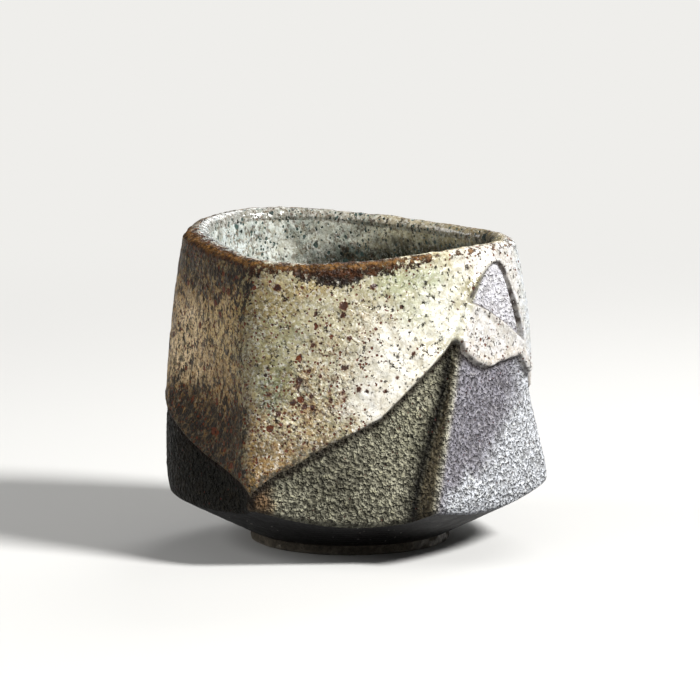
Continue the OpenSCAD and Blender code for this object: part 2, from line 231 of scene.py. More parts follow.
def grains(p, size, seed):
    """Rounded bumps, one per cell of that size: 1 on a grain's top, 0 between grains."""
    rng = np.random.RandomState(seed)
    jitter = rng.uniform(0, 1, (16, 16, 16, 3))
    tall = rng.uniform(0.35, 1, (16, 16, 16))
    p = np.asarray(p, float) / size
    i = np.floor(p).astype(int)
    best = np.zeros(p.shape[:-1])
    for step in np.ndindex(3, 3, 3):
        cell = i + step - 1
        j = tuple(np.moveaxis(cell % 16, -1, 0))
        d = np.linalg.norm(cell + jitter[j] - p, axis=-1)
        best = np.maximum(best, tall[j] * np.clip(1 - (d / 0.72) ** 2, 0, 1))
    return best


def rise(x, a, b):
    t = np.clip((x - a) / (b - a), 0, 1)
    return t * t * (3 - 2 * t)


# ---- meshes
def even_columns(count, low=0.0, high=9.0):
    u = np.linspace(low, high, 6000)
    length = np.zeros(len(u))
    for z in (12.0, 30.0, 50.0):
        p = outside(u, np.full(u.shape, z))[:, :2]
        length[1:] += np.cumsum(np.linalg.norm(np.diff(p, axis=0), axis=1))
    return np.interp(np.linspace(0, length[-1], count), length, u)


def grid_normals(p, closed):
    if closed:
        du = np.roll(p, -1, 1) - np.roll(p, 1, 1)
    else:
        du = np.gradient(p, axis=1)
    n = np.cross(du, np.gradient(p, axis=0))
    return n / np.maximum(np.linalg.norm(n, axis=-1, keepdims=True), 1e-9)


def face_normals(u, z):
    """Outward directions of the carved form, the same on both sides of a seam."""
    u, z = np.broadcast_arrays(u, z)
    n = np.cross(outside(u + 0.012, z) - outside(u - 0.012, z),
                 outside(u, z + 0.3) - outside(u, z - 0.3))
    return n / np.maximum(np.linalg.norm(n, axis=-1, keepdims=True), 1e-9)


def placed(name, data):
    """An object in the scene."""
    piece = bpy.data.objects.new(name, data)
    bpy.context.scene.collection.objects.link(piece)
    return piece


class Shell:
    """Grids of points joined in one mesh, with named values at every point."""
    def __init__(self, name):
        self.name, self.points, self.faces, self.values, self.count = name, [], [], {}, 0

    def add(self, p, closed, finish=0, pole=None, **values):
        """One grid; pole closes its first or last row (0 or -1) with a point in the middle."""
        rows, cols = p.shape[:2]
        last = cols if closed else cols - 1
        r, c = np.meshgrid(np.arange(rows - 1), np.arange(last), indexing="ij")
        d = (c + 1) % cols
        quad = np.stack([r * cols + c, r * cols + d, (r + 1) * cols + d, (r + 1) * cols + c], -1)
        self.faces.append((quad.reshape(-1, 4) + self.count, finish))
        flat = [p.reshape(-1, 3)]
        if pole is not None:
            ring = np.arange(cols) + (0 if pole == 0 else (rows - 1) * cols)
            ends = np.stack([ring, np.roll(ring, -1)], -1)
            if pole == 0:
                ends = ends[:, ::-1]
            tip = np.full((cols, 1), rows * cols)
            self.faces.append((np.c_[ends, tip] + self.count, finish))
            flat.append(p[pole].mean(0)[None])
        self.points += flat
        for key, got in values.items():
            width = 3 if key.startswith("tint") else 1
            got = np.asarray(got, float)
            got = np.broadcast_to(got if width == 3 else got[..., None], (rows, cols, width))
            parts = [got.reshape(-1, width)]
            if pole is not None:
                parts.append(got[pole].mean(0)[None])
            self.values.setdefault(key, []).extend(parts)
        self.count += rows * cols + (pole is not None)

    def build(self, *finishes):
        p = np.concatenate(self.points) * 0.001
        corners = np.concatenate([f.ravel() for f, _ in self.faces])
        sizes = np.concatenate([np.full(len(f), f.shape[1]) for f, _ in self.faces])
        marks = np.concatenate([np.full(len(f), m) for f, m in self.faces])
        mesh = bpy.data.meshes.new(self.name)
        mesh.vertices.add(len(p))
        mesh.vertices.foreach_set("co", p.astype(np.float32).ravel())
        mesh.loops.add(len(corners))
        mesh.loops.foreach_set("vertex_index", corners.astype(np.int32))
        mesh.polygons.add(len(sizes))
        mesh.polygons.foreach_set("loop_start", (np.cumsum(sizes) - sizes).astype(np.int32))
        mesh.polygons.foreach_set("material_index", marks.astype(np.int32))
        mesh.update(calc_edges=True)
        for key, parts in self.values.items():
            data = np.concatenate(parts).astype(np.float32)
            if key.startswith("tint"):
                layer = mesh.attributes.new(key, "FLOAT_COLOR", "POINT")
                layer.data.foreach_set("color", np.c_[data, np.ones(len(data), np.float32)].ravel())
            else:
                layer = mesh.attributes.new(key, "FLOAT", "POINT")
                layer.data.foreach_set("value", data.ravel())
        mesh.shade_smooth()
        for finish in finishes:
            mesh.materials.append(finish)
        return placed(self.name, mesh)


# ---- colours
def linear(code):
    """sRGB hex to linear."""
    c = np.array([int(code[i:i + 2], 16) / 255 for i in (1, 3, 5)])
    return np.where(c <= 0.04045, c / 12.92, ((c + 0.055) / 1.055) ** 2.4)


def rgba(code):
    return (*linear(code), 1.0)


def lay(ground, *layers):
    """Colours at every point: a ground with layers over it, each a colour and where it shows."""
    ground = linear(ground) if isinstance(ground, str) else ground
    for colour, mask in layers:
        m = np.clip(mask, 0, 1)[..., None]
        colour = linear(colour) if isinstance(colour, str) else colour
        ground = ground * (1 - m) + colour * m
    return ground


def blot(p, centre, wide, tall, seed=5):
    """A soft patch around a point, with a wandering edge."""
    d = np.sqrt((p[..., 0] - centre[0]) ** 2 + (p[..., 1] - centre[1]) ** 2) / wide
    d = np.hypot(d, (p[..., 2] - centre[2]) / tall)
    d = d + 0.35 * smooth_noise(p, 2.2, seed) + 0.18 * smooth_noise(p, 0.8, seed + 1)
    return 1 - rise(d, 0.35, 1.5)


# ---- pours and the bare patch
def pour_line(u):
    p = outside(u, np.full(u.shape, 30.0))
    wander = 0.28 * smooth_noise(p, 2.6, 11) + 0.12 * smooth_noise(p, 0.9, 12)
    return np.interp(u, POUR[:, 0], POUR[:, 1]) * CUP_H + wander


def pour_slope(u):
    """How far a height above the pour line is from the line itself, as a share."""
    step = 0.02
    a, b = np.clip(u - step, 0, 9), np.clip(u + step, 0, 9)
    za, zb = pour_line(a), pour_line(b)
    run = np.linalg.norm(outside(b, zb)[..., :2] - outside(a, za)[..., :2], axis=-1)
    return np.clip(run / np.hypot(run, zb - za), 0.35, 1)


def patch_frame():
    mid = np.array(0.775 * CUP_H)
    crest, fold = outside(np.array(7.0), mid)[:2], outside(np.array(8.0), mid)[:2]
    along_face = (fold - crest) / np.linalg.norm(fold - crest)
    return fold, along_face


def patch_distance(p):
    """Distance from the outline of the bare patch, negative inside it."""
    fold, face = patch_frame()
    flat = p[..., :2] - fold
    q = np.stack([flat @ face, p[..., 2]], -1)
    best = np.full(q.shape[:-1], 1e9)
    within = np.zeros(q.shape[:-1], bool)
    for a, b in zip(PATCH, np.roll(PATCH, -1, 0)):
        e, w = b - a, q - a
        t = np.clip((w @ e) / (e @ e), 0, 1)[..., None]
        best = np.minimum(best, np.linalg.norm(w - t * e, axis=-1))
        crosses = (a[1] > q[..., 1]) != (b[1] > q[..., 1])
        with np.errstate(divide="ignore", invalid="ignore"):
            x = e[0] * (q[..., 1] - a[1]) / (e[1] if e[1] else 1e-9) + a[0]
        within ^= crosses & (q[..., 0] < x)
    facing = (flat @ np.array([face[1], -face[0]])) > -4
    return np.where(facing, np.where(within, -best, best), 9.0)


# how strongly the glaze is rolled at its lower edge, by place around the cup
ROLL = np.array([[0, 0.9], [1, 0.6], [2.5, 0.7], [3.4, 0.5], [4.6, 0.3], [5.05, 0.25], [5.4, 0.3],
                 [5.5, 0.7], [5.6, 0.95], [6, 1], [7, 0.9], [7.3, 1.1], [8, 1.1], [9, 0.9]])


def coat_thickness(p, u, over_pour, over_patch):
    """Thickness of a pour: nothing outside it, a rolled bead along its edge, then an even coat."""
    roll = np.interp(u, ROLL[:, 0], ROLL[:, 1])
    edge = np.minimum(over_pour, over_patch + 0.15)
    fade = rise(edge, -0.35, 0.35 + 1.6 * (1 - np.clip(roll, 0, 1)))
    bead = 0.30 * roll * np.exp(-((edge - 0.8) / 0.55) ** 2)
    sheet = 0.5 + 0.09 * smooth_noise(p, 5.0, 21) + 0.06 * smooth_noise(p, 1.7, 22) \
        + 0.05 * smooth_noise(p, 0.8, 23)
    return -0.25 + fade * (0.25 + sheet + bead)


# ---- clay body
GRIT, SLATE = 0, 1


def clay_piece(finishes):
    shell = Shell("clay_body_grit")
    u = even_columns(COLUMNS + 1)[:-1]
    edge = edge_z(u)
    pour = pour_line(u)
    # turned underside: flat inside the foot, then a shallow cone out to the wall
    rim_in = outside(u, edge, -EDGE_TURN)
    rim_in[:, 2] = under_z(rim_in)
    out = rim_in[:, :2] - AXIS
    unit = out / np.linalg.norm(out, axis=1, keepdims=True)
    foot = np.c_[AXIS + unit * FOOT_R, np.full(len(u), FOOT_H)]
    rows = [np.c_[AXIS + unit * r, np.full(len(u), FOOT_H)] for r in (0.05, 4, 8, 11, 13, 14.6, 16)]
    rows += [foot + (rim_in - foot) * w for w in np.linspace(0, 1, 30)]
    under = np.array(rows)
    row = np.arange(len(rows))[:, None]
    ring = np.hypot(under[..., 0] - AXIS[0], under[..., 1])
    turn = 0.05 * rise(row, 7, 12) * np.sin(ring * 5.2) - 0.03 * smooth_noise(under, 3, 31)
    under = under - grid_normals(under, True) * (turn * rise(len(rows) - row, 1, 6))[..., None]
    # rounded edge and carved wall
    full, top = outside(u, edge), outside(u, edge + EDGE_ROUND)
    turn_rows = np.array([arc(rim_in, full, top, np.full(len(u), w)) for w in (0.2, 0.4, 0.6, 0.8)])
    share = np.linspace(0, 1, 96)[:, None]
    z = edge + EDGE_ROUND + share * (pour + HIDDEN - edge - EDGE_ROUND)
    wall = np.concatenate([turn_rows, outside(np.broadcast_to(u, z.shape), z)])
    u = np.broadcast_to(u, wall.shape[:2])
    height = clay_relief(wall) * rise(np.arange(len(wall)), 0, 6)[:, None]
    carved = wall + face_normals(u, np.maximum(wall[..., 2], edge + EDGE_ROUND)) * height[..., None]
    over = (wall[..., 2] - pour) * pour_slope(u[0])
    side = np.maximum(rise(u, CREST, 7.5), round_corner(wall, u))
    shell.add(under, True, SLATE, 0, tint=slate_tint(under), grain=0.5, pour=-9.0)
    side, over, u = (np.concatenate([got[:1], got]) for got in (side, over, u))
    shell.add(np.concatenate([under[-1:], carved]), True, GRIT,
              tint=clay_tint(np.concatenate([under[-1:], wall]), u),
              grain=1 - 0.15 * side, pour=over * (1 + 0.9 * side))
    # the clay seen through the bare patch
    u, z = np.meshgrid(np.linspace(6.6, RIGHT_FOLD, 120), np.linspace(35.5, 54.0, 96))
    face = outside(u, z)
    shell.add(face + face_normals(u, z) * (clay_relief(face) - 0.05)[..., None], False, GRIT,
              tint=clay_tint(face, u), grain=0.5,
              pour=-3.6 * np.maximum(-patch_distance(face), 0.0))
    return shell.build(*finishes)


def clay_relief(p):
    """Sand grains and slow waves on the carved clay, in millimetres."""
    slow = 0.10 * smooth_noise(p, 7.0, 43) + 0.06 * smooth_noise(p, 2.4, 44)
    return 0.10 * (grains(p * [1, 1, 1.15], 0.95, 41) - 0.5) + slow


def from_corner(p, u, corner):
    """Millimetres along the surface from a corner at the same height, positive towards the next."""
    at = outside(np.full(u.shape, float(corner)), p[..., 2])
    return np.sign(u - corner) * np.linalg.norm(p[..., :2] - at[..., :2], axis=-1)


def round_corner(p, u):
    """1 at the right corner, fading out along the back, so that the side's look ends softly."""
    gone = from_corner(p, u, RIGHT) + 2 * smooth_noise(p, 2.5, 52) + 4 * smooth_noise(p, 6.0, 51)
    return (1 - rise(gone, 0.0, 15.0)) * (u < 1.5)


def clay_tint(p, u):
    z = p[..., 2]
    slow, soft = smooth_noise(p, 6.0, 51), smooth_noise(p, 2.5, 52)
    ridge, crease = from_corner(p, u, FRONT_LEFT) + 1.5 * soft, from_corner(p, u, CREASE)
    crest, fold = from_corner(p, u, CREST), from_corner(p, u, RIGHT_FOLD) + 1.5 * soft
    left, back = 1 - rise(ridge, -2.5, 1.5), (1 - rise(u, 2.2, 3.2)) * (u < LEFT_FOLD)
    right, high = rise(crest, -0.3, 1.0) * (u > 6.5), rise(z, 38, 42)
    pale = np.maximum(rise(fold, -9.0, 2.0),
                      rise(16 - z + 4 * slow, 0, 4) * rise(crest, 0.5, 4))
    # painted light: shade on the strip that faces away from the light, a highlight along the crest
    # and shadow in the crease
    strip_shade = rise(crease, 0.2, 1.4) * (1 - rise(crest, -1.0, 0.2)) * (u > 5.9) * (u < 7.3)
    wear_and_highlight = np.exp(-((crest - 0.3) / 0.7) ** 2) * (z < 38) * (u > 6.3)
    crease_shadow = np.exp(-np.abs((crease - 0.15) / np.where(crease > 0.15, 1.3, 1.9)) ** 1.5)
    low = 1 - rise(z - under_z(p), 0.2, 1.6)
    return lay(
        "#a5a28c", ("#bfbba4", rise(slow, -0.1, 0.8) * 0.6),
        ("#5f5c4e", 0.7 * blot(p, (-4.7, -31.0, 16.2), 8.0, 5.0) * (u > FRONT)),
        # the left, scorched nearly black, and the back
        ("#0e0c07", left * 0.98), ("#241c10", left * rise(soft, 0.1, 0.9) * 0.5),
        ("#8b867b", back), ("#666157", back * rise(slow, 0, 0.9) * 0.7),
        # the right facet: mauve, paler round the corner, in the bare patch, at the fold and low
        ("#e2e5ea", 0.97 * round_corner(p, u)), ("#98959d", right), ("#dddbe0", right * high),
        ("#e2e5ea", 0.97 * pale * right * (1 - high)),
        # painted shade on the strip between crease and crest, a painted highlight along the crest
        # and a painted shadow in the groove beside it
        ("#776b54", strip_shade * 0.9), ("#cdc8bb", 0.40 * wear_and_highlight),
        ("#0c0704", 0.98 * crease_shadow * (u > FRONT) * (1 - rise(z, 37.5, 39.5))),
        # beads of glaze that ran down the ridge
        ("#866748", 0.9 * blot(p, (-16.9, -32.5, 12.4), 2.3, 2.8) * (u > LEFT_FOLD)),
        ("#2a2723", 0.2 * low * (1 - right * 0.7)))


def slate_tint(p):
    ring = np.hypot(p[..., 0] - AXIS[0], p[..., 1])
    return lay("#0b0a0b", ("#161413", rise(smooth_noise(p, 5, 61), 0, 1) * 0.7),
               ("#4a4034", (1 - rise(ring, FOOT_R - 1, FOOT_R + 1.5)) * 0.7))


# ---- glaze coats
# where the glaze pooled pale, green or brown on the front: colour, middle, half width, half
# height, strength
FRONT_PATCHES = (
    ("#ccc09a", (-11.0, -30.5, 26.0), 9.0, 12.0, 0.85),
    ("#fbf7ec", (3.6, -27.6, 32.0), 7.5, 8.0, 1.0),
    ("#e4e3d4", (14.3, -20.2, 44.5), 8.0, 8.0, 0.95),
    ("#f3efe2", (5.0, -26.0, 38.0), 9.0, 8.0, 0.9),
    ("#cdc7ab", (-4.0, -28.0, 39.0), 7.0, 8.0, 0.7),
    ("#a39566", (-15.0, -28.5, 47.0), 5.0, 5.0, 0.8),
    ("#a9ad88", (7.4, -23.0, 50.3), 6.0, 2.4, 0.8),
    ("#a9af8c", (12.3, -20.0, 50.8), 4.5, 2.0, 0.6),
    ("#b6bb98", (9.6, -22.8, 45.6), 4.0, 3.2, 0.55),
    ("#a0a280", (-14.8, -29.0, 42.0), 5.0, 3.0, 0.6),
    ("#8b8d64", (-14.4, -29.6, 34.0), 3.6, 5.0, 0.85),
    ("#7f8a74", (-15.6, -29.9, 31.0), 2.2, 3.0, 0.75),
    ("#b39b72", (-7.5, -29.8, 27.5), 3.5, 3.0, 0.4),
    ("#98825a", (-13.4, -31.3, 19.0), 5.0, 5.0, 0.75),
    ("#a98a58", (-14.8, -31.5, 17.5), 3.0, 2.5, 0.7),
    ("#c08a44", (-17.6, -31.8, 14.0), 2.6, 3.0, 0.8),
    ("#f3f0ea", (22.0, -11.0, 54.5), 7.0, 4.0, 0.9),
    ("#5d3a22", (-8.5, -31.0, 22.0), 6.0, 2.2, 0.35),
    ("#b5ad8a", (-4.7, -28.0, 42.6), 5.0, 4.0, 0.6),
    ("#3d2417", (-3.0, -26.6, 53.0), 7.0, 2.0, 0.85),
    ("#a48b3e", (-8.0, -27.7, 50.0), 3.0, 1.4, 0.6))
# single spots of melted iron on the front: middle across, middle up, radius
FRONT_SPOTS = (
    (-2.5, 46.8, 0.75), (-2.6, 45.2, 0.42), (-14.1, 50.2, 0.62), (2.7, 49.9, 0.55),
    (-10.3, 33.8, 0.62), (-11.4, 29.9, 0.55), (-6.6, 34.6, 0.34), (-8.2, 31.0, 0.36),
    (-9.4, 29.2, 0.50), (-8.0, 29.0, 0.42), (-10.6, 32.6, 0.36), (0.2, 32.0, 0.48),
    (1.7, 31.7, 0.26), (-2.6, 31.6, 0.36), (-4.7, 30.2, 0.36), (-2.3, 30.5, 0.30),
    (4.9, 31.5, 0.34), (-5.0, 31.8, 0.26), (9.9, 37.8, 0.34), (7.0, 33.8, 0.30),
    (-8.6, 35.6, 0.36), (-7.9, 40.0, 0.36), (-13.9, 28.0, 0.45), (-15.6, 31.4, 0.40),
    (-1.5, 41.1, 0.40))
# where iron dots crowd or stay away on the front: middle, half width, half height, how much
# more, last place round the cup
CROWDS = (
    ((-6.5, -29.8, 29.5), 9.0, 8.0, 0.55, 6.2), ((-14.0, -31.3, 20.0), 8.0, 9.0, 0.40, 6.2),
    ((4.0, -27.6, 31.5), 7.0, 7.0, -0.50, 6.2), ((13.0, -21.0, 43.0), 10.0, 9.0, -0.38, 9.1),
    ((20.0, -14.0, 47.0), 9.0, 12.0, -0.25, 9.1))
NO_EDGE = dict(pour=9.0, roll=0.0, blot=0.0)  # glaze far from the edge of any pour


def outer_tint(p, u):
    z = p[..., 2]
    slow, soft = smooth_noise(p, 6.0, 71), smooth_noise(p, 2.2, 72)
    front = (u > FRONT) & (u < FRONT_END)
    ridge = from_corner(p, u, FRONT_LEFT)
    side = rise(from_corner(p, u, LEFT) + 3 * soft + 4 * slow, -13.0, 1.0) * (u > BACK_LEFT)
    # left face: tan with a pinkish band, olive near the ridge and the lip, scorched low down
    tan = lay(
        "#b99c6b", ("#f9deb0", blot(p, (-31.0, -8.0, 37.5), 9.0, 8.0)),
        ("#dcc188", blot(p, (-25.0, -20.0, 41.0), 8.0, 6.0) * 0.8),
        ("#90834f", rise(ridge + 2 * soft, -8.0, -1.0) * 0.8),
        ("#6b6040", rise(z + 2.0 * soft + 1.5 * slow, 45.0, 53.0) * 0.85),
        ("#43361f", (1 - rise(z + 2.5 * soft + 2 * slow, 24.0, 34.0)) * 0.9))
    golden = np.exp(-((ridge - 0.5) / 0.8) ** 2) * (1 - rise(z, 24, 34)) * (u > LEFT_FOLD)
    return lay(
        "#bfb897", ("#9c9672", rise(slow + 0.5 * soft, -0.1, 1.0) * 0.8),
        *((colour, much * blot(p, middle, wide, tall) * front)
          for colour, middle, wide, tall, much in FRONT_PATCHES),
        (tan, (1 - rise(ridge + 3 * soft + slow, -6.0, 6.0)) * side),
        # the back: the same glaze, clouded
        ("#a99674", (1 - side) * rise(slow + soft, 0.0, 1.2) * 0.7),
        ("#8f977c", (1 - side) * rise(-slow, 0.1, 0.9) * 0.5),
        # the front left ridge, low down, where the glaze thins to gold
        ("#a8823c", 0.6 * golden))


def spot_height(p, u):
    """The single spots of iron: 1 at the edge of a spot, more inside, less outside."""
    height = np.zeros(u.shape)
    for x, z, radius in FRONT_SPOTS:
        height = np.maximum(height, 1 + radius - np.hypot(p[..., 0] - x, p[..., 2] - z))
    return height * ((u > FRONT) & (u < FRONT_END))


def rust(p, u, below):
    """How far the lip's iron breaks through, by depth below the lip: ragged, deeper in front."""
    x = p[..., 0]
    front = (u > FRONT_LEFT) & (u < 6.5)
    run = 1.2 + 2.3 * np.exp(-((x + 3) / 6) ** 2) * front - 1.5 * rise(x, 6, 16) \
        + 0.3 * rise(x, 25, 29) + 1.1 * smooth_noise(p, 2.6, 73) + 0.8 * smooth_noise(p, 0.9, 74)
    return (1 - 0.55 * (u < 3.2)) * (1 - rise(below - run, -1.0, 1.6))


def rust_tint(p, below):
    """Colour of the bared iron: golden on the crown of the lip, rusty, then dark in its pools."""
    soft = smooth_noise(p, 1.3, 75)
    return lay("#7d5829", ("#4c2b13", rise(below + 0.5 * soft, 0.5, 1.3)),
               ("#1e0f05", rise(below + 0.8 * soft, 1.6, 3.0)))


def lining_tint(p):
    x, z = p[..., 0], p[..., 2]
    slow, soft = smooth_noise(p, 6.0, 103), smooth_noise(p, 1.8, 104)
    return lay(
        "#e8ebe0", ("#ccd5d4", (1 - rise(x + 2 * soft, -24, -12)) * 0.95),
        ("#f6ecc6", rise(x + 2 * soft, -6, 10) * 0.85), ("#a5935c", rise(x, 6, 20) * 0.8),
        ("#46524f", rise(slow + 1.2 * soft, 0.3, 1.1) * 0.35),
        # painted shadow of the right wall over the lower right of the lining
        ("#22210f", lining_shadow(p) * (0.5 + 0.5 * rise(z, 34, 45)) * 0.95),
        # pooled thicker and greener on the floor
        ("#8d9a8a", (1 - rise(z + 2 * soft, 10, 26)) * 0.7))


def lining_shadow(p):
    """1 where the lining carries a painted shadow, dark brown: below the lip, from the middle to
    the right corner.
    """
    x, uneven = p[..., 0], 1.2 * smooth_noise(p, 1.8, 104) + 1.5 * smooth_noise(p, 6.0, 103)
    height = p[..., 2] + uneven - 0.14 * np.maximum(x + 2, 0)
    return (1 - rise(height, 48.5, 52.5)) * rise(x, -14, -4)


# painted shade of the lining, passed on as soot: darker, streaked and duller in the right wall's
# shadow and towards the right
def lining_soot(p):
    return 0.6 * lining_shadow(p) * rise(p[..., 2], 34, 45) + 0.3 * rise(p[..., 0], 8, 22)


def lining_specks(p):
    return np.clip(0.75 - 0.2 * rise(p[..., 0], -5, 15) + 0.4 * smooth_noise(p, 3.0, 105), 0, 1)


def side_share(u):
    """1 on the side face, 0 on the main pour, smooth over the crest and the right corner."""
    return np.where(u > 5, rise(u, 6.93, 7.16), 1 - rise(u, 0.15, 0.9))


def soot(p, u):
    """Dark streaks of the scorched left face, strongest under the lip and low down."""
    side = from_corner(p, u, LEFT) + 3 * smooth_noise(p, 2.2, 72) + 4 * smooth_noise(p, 6.0, 71)
    z = p[..., 2] + 2.0 * smooth_noise(p, 2.2, 77)
    much = 0.85 + 0.75 * rise(z, 44.5, 51.0) + 0.75 * (1 - rise(z, 25.0, 33.0))
    return much * (1 - rise(from_corner(p, u, FRONT_LEFT), -3, 2)) * rise(side, -12.0, 2.0) \
        * (u > BACK_LEFT)


def coat_tint(p, u, over):
    soft = smooth_noise(p, 3.0, 72)
    side = lay(
        "#d3d1cf", ("#c2c7cb", rise(u, 7.62, 7.8)),
        ("#b5aca0", rise(soft, 0.1, 0.9) * 0.5 * (1 - rise(u, 7.5, 7.8))),
        ("#cfc6bc", np.exp(-((over - 1.0) / 1.2) ** 2) * 0.5))
    return lay(outer_tint(p, u), (side, side_share(u)))


def speck_amount(p, u):
    amount = 0.42 + 0.25 * smooth_noise(p, 5.0, 91) + 0.30 * soot(p, u)
    for middle, wide, tall, more, end in CROWDS:
        amount = amount + more * blot(p, middle, wide, tall) * (u > 4.7) * (u < end)
    side, w = 0.24 - 0.12 * rise(u, 7.5, 7.8), side_share(u)
    return np.clip(amount * (1 - w) + side * w, 0, 1)


def pour_piece(name, low, high, count, rows, finish):
    """A stretch of the outside glaze, from its rolled lower edge up to the lip."""
    shell = Shell(name)
    u = even_columns(count, low, high)
    pour, top = pour_line(u) - 0.5, rim_z(u) - WASH_DROP
    share = np.linspace(0, 1, rows)[:, None]
    z = pour + share * (top - pour)
    below = rim_z(u) - z
    over = (z - pour - 0.5) * pour_slope(u)
    u = np.broadcast_to(u, z.shape)
    base = outside(u, z)
    patch = patch_distance(base)
    thick = coat_thickness(base, u, over, patch)
    thick = thick + (WASH - thick) * rise(share, 0.965, 1.0)
    shell.add(base + face_normals(u, z) * thick[..., None], False,
              tint=coat_tint(base, u, over), speck=speck_amount(base, u),
              rust=rust(base, u, below), tint_rust=rust_tint(base, below),
              soot=soot(base, u), pour=np.minimum(over, patch) * (1 + 0.6 * side_share(u)),
              blot=spot_height(base, u), roll=np.interp(u, ROLL[:, 0], ROLL[:, 1]))
    return shell.build(finish)


def inner_piece(finish):
    shell = Shell("inner_glaze_lining")
    u = even_columns(421)[:-1]
    v = hollow_place(u)
    top, low = rim_z(u) - WASH_DROP_IN, FLOOR_H + BOWL_ROUND
    share = np.linspace(0, 1, 84)[:, None]
    z = top + share * (low - top)
    wall = inside(np.broadcast_to(v, z.shape), z, WASH + (LINING - WASH) * rise(share, 0, 0.03))
    angle = np.radians(np.linspace(88, 0.3, 34))[:, None, None]
    ring = inside(v, np.full(v.shape, low), LINING)[:, :2] - AXIS
    bowl_xy = AXIS + ring * np.sin(angle)
    bowl_z = FLOOR_H + LINING + (BOWL_ROUND - LINING) * (1 - np.cos(angle[..., 0]))
    bowl = np.concatenate([bowl_xy, np.broadcast_to(bowl_z, bowl_xy.shape[:2])[..., None]], -1)
    base = np.concatenate([wall, bowl])
    ripple = 0.10 * smooth_noise(base, 5.0, 101) + 0.03 * smooth_noise(base, 1.6, 102)
    ripple = ripple * rise(np.arange(len(base)), 3, 10)[:, None]
    tint = lining_tint(base)
    shell.add(base + grid_normals(base, True) * ripple[..., None], True, 0, -1, tint=tint,
              tint_rust=tint, speck=lining_specks(base), soot=lining_soot(base), rust=0.0,
              **NO_EDGE)
    return shell.build(finish)


def lip_piece(finishes):
    shell = Shell("rim_wash_lip")
    u = even_columns(COLUMNS + 1)[:-1]
    v, z = hollow_place(u), rim_z(u) - LIP_ROUND - WASH
    out_low, in_low = rim_z(u) - WASH_DROP, rim_z(u) - WASH_DROP_IN
    a, b = outside(u, z), inside(v, z)
    mid, half = (a + b) / 2, (a - b) / 2
    grow = 1 + WASH / np.linalg.norm(half, axis=1, keepdims=True)
    rows = [outside(u, out_low + (z - out_low) * w, WASH) for w in np.linspace(0, 0.85, 6)]
    for f in np.radians(np.linspace(0, 180, 19)):
        row = mid + half * grow * np.cos(f)
        row[:, 2] += (LIP_ROUND + WASH) * np.sin(f)
        rows.append(row)
    rows += [inside(v, z + (in_low - z) * w, WASH) for w in np.linspace(0.15, 1, 6)]
    base = np.array(rows)
    n = np.arange(len(base))[:, None]
    wear_and_highlight = 0.14 * smooth_noise(base, 3.0, 111) + 0.10 * smooth_noise(base, 1.2, 112) \
        + 0.08 * (grains(base, 1.0, 113) - 0.5)
    wear_and_highlight = wear_and_highlight * np.sin(n / n[-1] * np.pi) ** 0.5
    # from the outside's look to the lining's, over the crown of the lip
    u = np.broadcast_to(u, base.shape[:2])
    past = rise(n, 10, 17)
    below = (rim_z(u[0]) - base[..., 2]) * (1 + 2.5 * past) + 2.2 * past
    dusty = rise(base[..., 1], 0, 10) * rise(n, 4, 9) * (1 - 0.3 * past) * 0.88
    tint = lay(coat_tint(base, u, np.full(u.shape, 9.0)),
               (lining_tint(base), past), ("#6a6055", dusty))
    values = dict(tint=tint, tint_rust=rust_tint(base, below), rust=rust(base, u, below),
                  soot=soot(base, u) * (1 - past) + lining_soot(base) * past,
                  speck=speck_amount(base, u) * (1 - past) + lining_specks(base) * past)
    moved = base + grid_normals(base, True) * wear_and_highlight[..., None]
    for finish, rows in ((0, slice(0, 17)), (1, slice(16, None))):
        shell.add(moved[rows], True, finish, **NO_EDGE,
                  **{key: got[rows] for key, got in values.items()})
    return shell.build(*finishes)


def foot_piece(finish):
    shell = Shell("foot_ring_turned")
    f = np.linspace(0, 2 * np.pi, 421)[:-1]
    inner, outer, c = FOOT_R - FOOT_WALL, FOOT_R, FOOT_CHAMFER
    profile = (
        (inner, FOOT_H), (inner, 1.35), (inner, 0.9), (inner, c), (inner + c * 0.3, c * 0.3),
        (inner + c, 0.0), (inner + 1.2, 0.0), (inner + 1.9, 0.0), (outer - c - 0.6, 0.0),
        (outer - c, 0.0), (outer - c * 0.3, c * 0.3), (outer, c), (outer, 0.8), (outer, 1.1),
        (outer, 1.4), (outer, 1.6), (outer, FOOT_H))
    base = np.array([np.c_[AXIS[0] + r * np.cos(f), r * np.sin(f), np.full(len(f), z)]
                     for r, z in profile])
    chip = 0.10 * smooth_noise(base, 1.6, 121) + 0.06 * (grains(base, 0.8, 122) - 0.5) \
        + 0.03 * np.sin(base[..., 2] * 9)
    chip = np.where(base[..., 2] < 0.02, np.minimum(chip, 0), chip)
    soft = smooth_noise(base, 2.0, 123)
    # pale chips, only on the right and near white: wear, and painted light on the side the lamp
    # falls on
    tint = lay("#6a6152", ("#8f8574", rise(soft, 0.1, 0.8) * 0.6),
               ("#fbf6ec", rise(base[..., 0], 9, 16) * rise(soft, -0.3, 0.3) * 0.95))
    moved = base + grid_normals(base, True) * chip[..., None] * [1, 1, 0.4]
    moved[..., 2] = np.clip(moved[..., 2], 0.0, None)
    shell.add(moved, True, tint=tint, speck=0.3)
    return shell.build(finish)


# ---- materials
SOFT = {"interpolation_type": "SMOOTHSTEP"}
TIMES = {"operation": "MULTIPLY"}
COLOURS = {"data_type": "RGBA"}
DARKEN = {"data_type": "RGBA", "blend_type": "MULTIPLY"}
LIFT = {"data_type": "RGBA", "blend_type": "OVERLAY"}
MADE = []  # the materials so far; nodes are added to the last one


